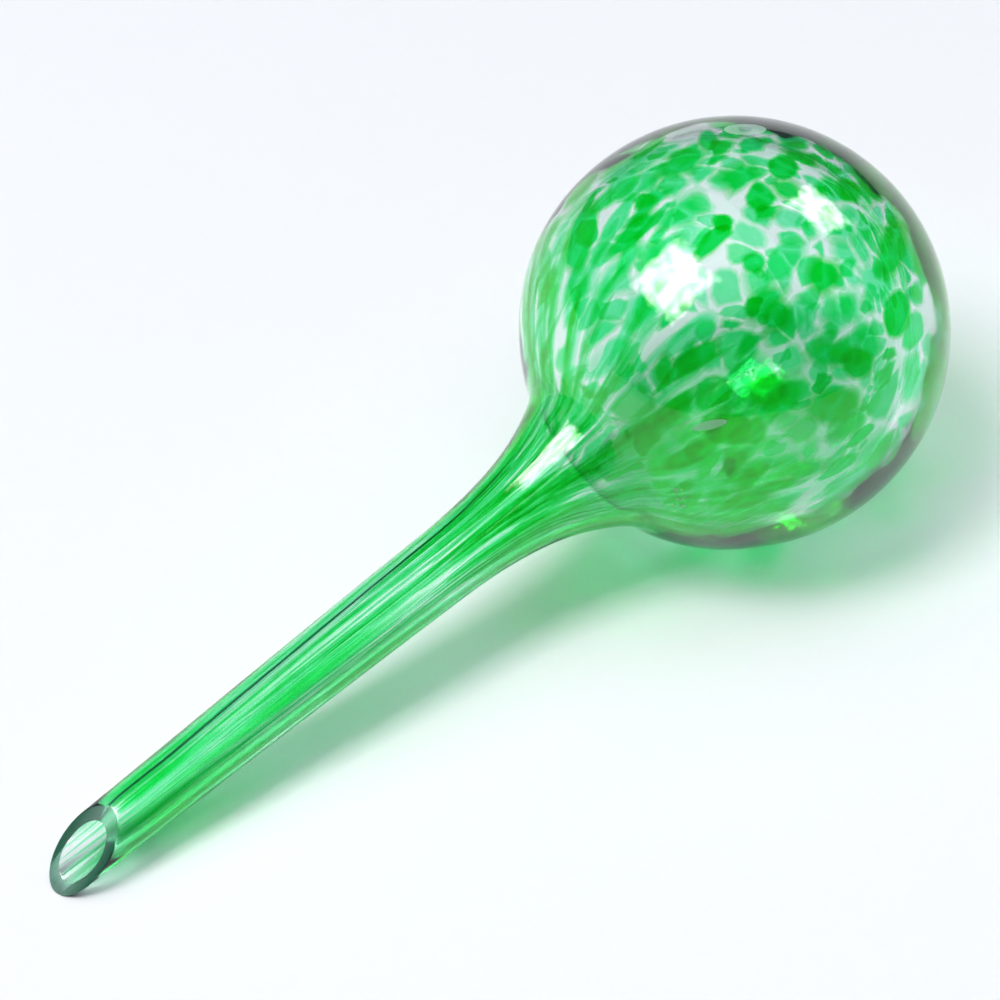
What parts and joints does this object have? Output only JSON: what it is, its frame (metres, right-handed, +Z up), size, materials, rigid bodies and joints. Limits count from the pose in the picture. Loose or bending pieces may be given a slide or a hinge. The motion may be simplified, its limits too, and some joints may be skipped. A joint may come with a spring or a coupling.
{
  "type": "watering globe",
  "caption": "Hand-blown glass watering globe: a hollow globe with green chips on a drawn stem with a slant-cut open mouth, filled with water and pushed into potting soil.",
  "frame": {"origin": "on the table, at the bottom centre of the bounding box, with the vessel lying on its globe and on the long lip of its mouth", "axes": "+X from the mouth towards the globe along the table, +Z up, +Y to the left of +X; the vessel's axis lies in the XZ plane and slopes down towards the mouth by 12.6 degrees"},
  "size_m": [0.195, 0.08, 0.08],
  "materials": {
    "clear_glass": "polished",
    "deep_green_glass": "polished",
    "mid_green_glass": "polished",
    "pale_green_glass": "polished"
  },
  "bodies": {
    "root": {"globe_wall": "clear_glass", "neck_wall": "clear_glass", "stem_wall": "clear_glass", "deep_green_chips": "deep_green_glass", "mid_green_chips": "mid_green_glass", "pale_green_chips": "pale_green_glass", "neck_streaks": "mid_green_glass", "stem_streaks": "mid_green_glass"}
  },
  "joints": []
}
